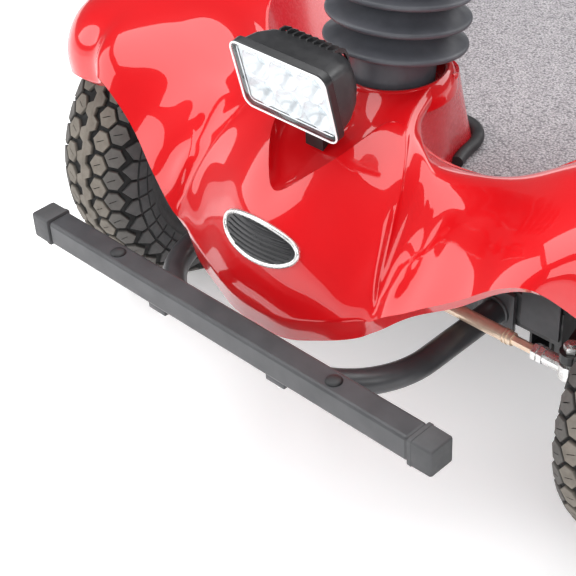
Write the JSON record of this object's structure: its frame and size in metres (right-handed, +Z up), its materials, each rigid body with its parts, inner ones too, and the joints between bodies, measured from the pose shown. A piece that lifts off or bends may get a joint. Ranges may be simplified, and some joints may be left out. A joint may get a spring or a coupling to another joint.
{
  "type": "rolling chassis",
  "caption": "Four-wheel rolling chassis: steel frame, steered front wheels, red front cowl with lamp, tube bumper, carpeted floor and rear drive unit.",
  "frame": {"origin": "on the ground, on the mid-plane, halfway between the bumper face and the back of the rear tyres", "axes": "+Z up, -Y towards the front bumper, +X towards the vehicle's left side"},
  "size_m": [0.776, 1.3914, 0.5579],
  "materials": {
    "badge_dark": "gloss",
    "battery_grey": "moulded case",
    "boot_rubber": "satin rubber",
    "bright_steel": "bright zinc",
    "bumper_black": "satin powder coat",
    "cap_plastic": "matte moulded plastic",
    "carpet": "loop pile",
    "frame_black": "satin powder coat",
    "gloss_red": "gloss moulded body colour",
    "lens_clear": "clear moulded lens",
    "motor_grey": "cast, painted",
    "panel_grey": "matte moulded sheet",
    "plastic_black": "fine moulded grain",
    "reflector": "metallised cups",
    "rim_dark": "satin paint",
    "rubber_black": "matte",
    "tyre_rubber": "matte",
    "zinc_gold": "yellow zinc plating on steel"
  },
  "bodies": {
    "chassis": {"axle_clamp_l": "bright_steel", "axle_clamp_r": "bright_steel", "badge_plate": "badge_dark", "battery_l": "battery_grey", "battery_r": "battery_grey", "beam_bolt_l": "bright_steel", "beam_bolt_r": "bright_steel", "beam_plug_l": "rubber_black", "beam_plug_r": "rubber_black", "bumper_beam": "bumper_black", "bumper_cap_l": "cap_plastic", "bumper_cap_r": "cap_plastic", "bumper_hoop": "bumper_black", "column_bush_lower": "plastic_black", "column_bush_upper": "plastic_black", "column_grommet": "rubber_black", "controller_box": "motor_grey", "drive_motor": "plastic_black", "floor_mat": "carpet", "floor_pan": "panel_grey", "frame_weldment": "frame_black", "front_cowl": "gloss_red", "kingpin_l": "bright_steel", "kingpin_r": "bright_steel", "lamp_bracket": "plastic_black", "splash_guard_l": "panel_grey", "splash_guard_r": "panel_grey", "transaxle_case": "motor_grey"},
    "steering_column": {"steering_shaft": "bright_steel", "tilt_pin": "bright_steel"},
    "tiller": {"tiller_stem": "frame_black", "steering_boot": "boot_rubber"},
    "tie_link_l": {"tie_rod_l": "zinc_gold", "rod_end_l": "bright_steel"},
    "tie_link_r": {"tie_rod_r": "zinc_gold", "rod_end_r": "bright_steel"},
    "knuckle_l": {"knuckle_l": "frame_black", "axle_nut_fl": "bright_steel"},
    "knuckle_r": {"knuckle_r": "frame_black", "axle_nut_fr": "bright_steel"},
    "wheel_fl": {"tyre_fl": "tyre_rubber", "rim_outer_fl": "rim_dark", "rim_inner_fl": "rim_dark"},
    "wheel_fr": {"tyre_fr": "tyre_rubber", "rim_outer_fr": "rim_dark", "rim_inner_fr": "rim_dark"},
    "wheel_rl": {"tyre_rl": "tyre_rubber", "rim_outer_rl": "rim_dark", "rim_inner_rl": "rim_dark", "axle_nut_rl": "bright_steel", "axle_shaft_l": "bright_steel"},
    "wheel_rr": {"tyre_rr": "tyre_rubber", "rim_outer_rr": "rim_dark", "rim_inner_rr": "rim_dark", "axle_nut_rr": "bright_steel", "axle_shaft_r": "bright_steel"},
    "lamp": {"lamp_housing": "plastic_black", "lamp_reflector": "reflector", "lamp_lens": "lens_clear"},
    "freewheel": {"freewheel_lever": "zinc_gold"}
  },
  "joints": [
    {"name": "steer", "type": "hinge", "parent": "chassis", "child": "steering_column", "pos_m": [0, -0.46025, 0.2], "axis": [0, 0, 1], "range_deg": [-20, 20]},
    {"name": "tiller_tilt", "type": "hinge", "parent": "steering_column", "child": "tiller", "pos_m": [0, -0.46025, 0.343], "axis": [1, 0, 0], "range_deg": [-8, 9]},
    {"name": "tie_pivot_l", "type": "hinge", "parent": "steering_column", "child": "tie_link_l", "pos_m": [0.016, -0.52525, 0.202], "axis": [0, 0, 1], "range_deg": [-20, 20]},
    {"name": "knuckle_steer_l", "type": "hinge", "parent": "chassis", "child": "knuckle_l", "pos_m": [0.238, -0.46025, 0.186], "axis": [0, 0, 1], "range_deg": [-20, 20]},
    {"name": "spin_fl", "type": "hinge", "parent": "knuckle_l", "child": "wheel_fl", "pos_m": [0.3187, -0.42425, 0.16], "axis": [1, 0, 0], "continuous": true},
    {"name": "spin_rl", "type": "hinge", "parent": "chassis", "child": "wheel_rl", "pos_m": [0.305, 0.53575, 0.16], "axis": [1, 0, 0], "continuous": true},
    {"name": "tie_pivot_r", "type": "hinge", "parent": "steering_column", "child": "tie_link_r", "pos_m": [-0.016, -0.52525, 0.202], "axis": [0, 0, 1], "range_deg": [-20, 20]},
    {"name": "knuckle_steer_r", "type": "hinge", "parent": "chassis", "child": "knuckle_r", "pos_m": [-0.238, -0.46025, 0.186], "axis": [0, 0, 1], "range_deg": [-20, 20]},
    {"name": "spin_fr", "type": "hinge", "parent": "knuckle_r", "child": "wheel_fr", "pos_m": [-0.3187, -0.42425, 0.16], "axis": [1, 0, 0], "continuous": true},
    {"name": "spin_rr", "type": "hinge", "parent": "chassis", "child": "wheel_rr", "pos_m": [-0.305, 0.53575, 0.16], "axis": [1, 0, 0], "continuous": true},
    {"name": "lamp_tilt", "type": "hinge", "parent": "chassis", "child": "lamp", "pos_m": [0, -0.54825, 0.361], "axis": [1, 0, 0], "range_deg": [-12, 12]},
    {"name": "freewheel_release", "type": "hinge", "parent": "chassis", "child": "freewheel", "pos_m": [0.082, 0.53575, 0.205], "axis": [1, 0, 0], "range_deg": [0, 30]}
  ],
  "couplings": [
    {"joint": "tie_pivot_l", "follows": "steer", "ratio": -1},
    {"joint": "knuckle_steer_l", "follows": "steer", "ratio": 1},
    {"joint": "tie_pivot_r", "follows": "steer", "ratio": -1},
    {"joint": "knuckle_steer_r", "follows": "steer", "ratio": 1}
  ]
}
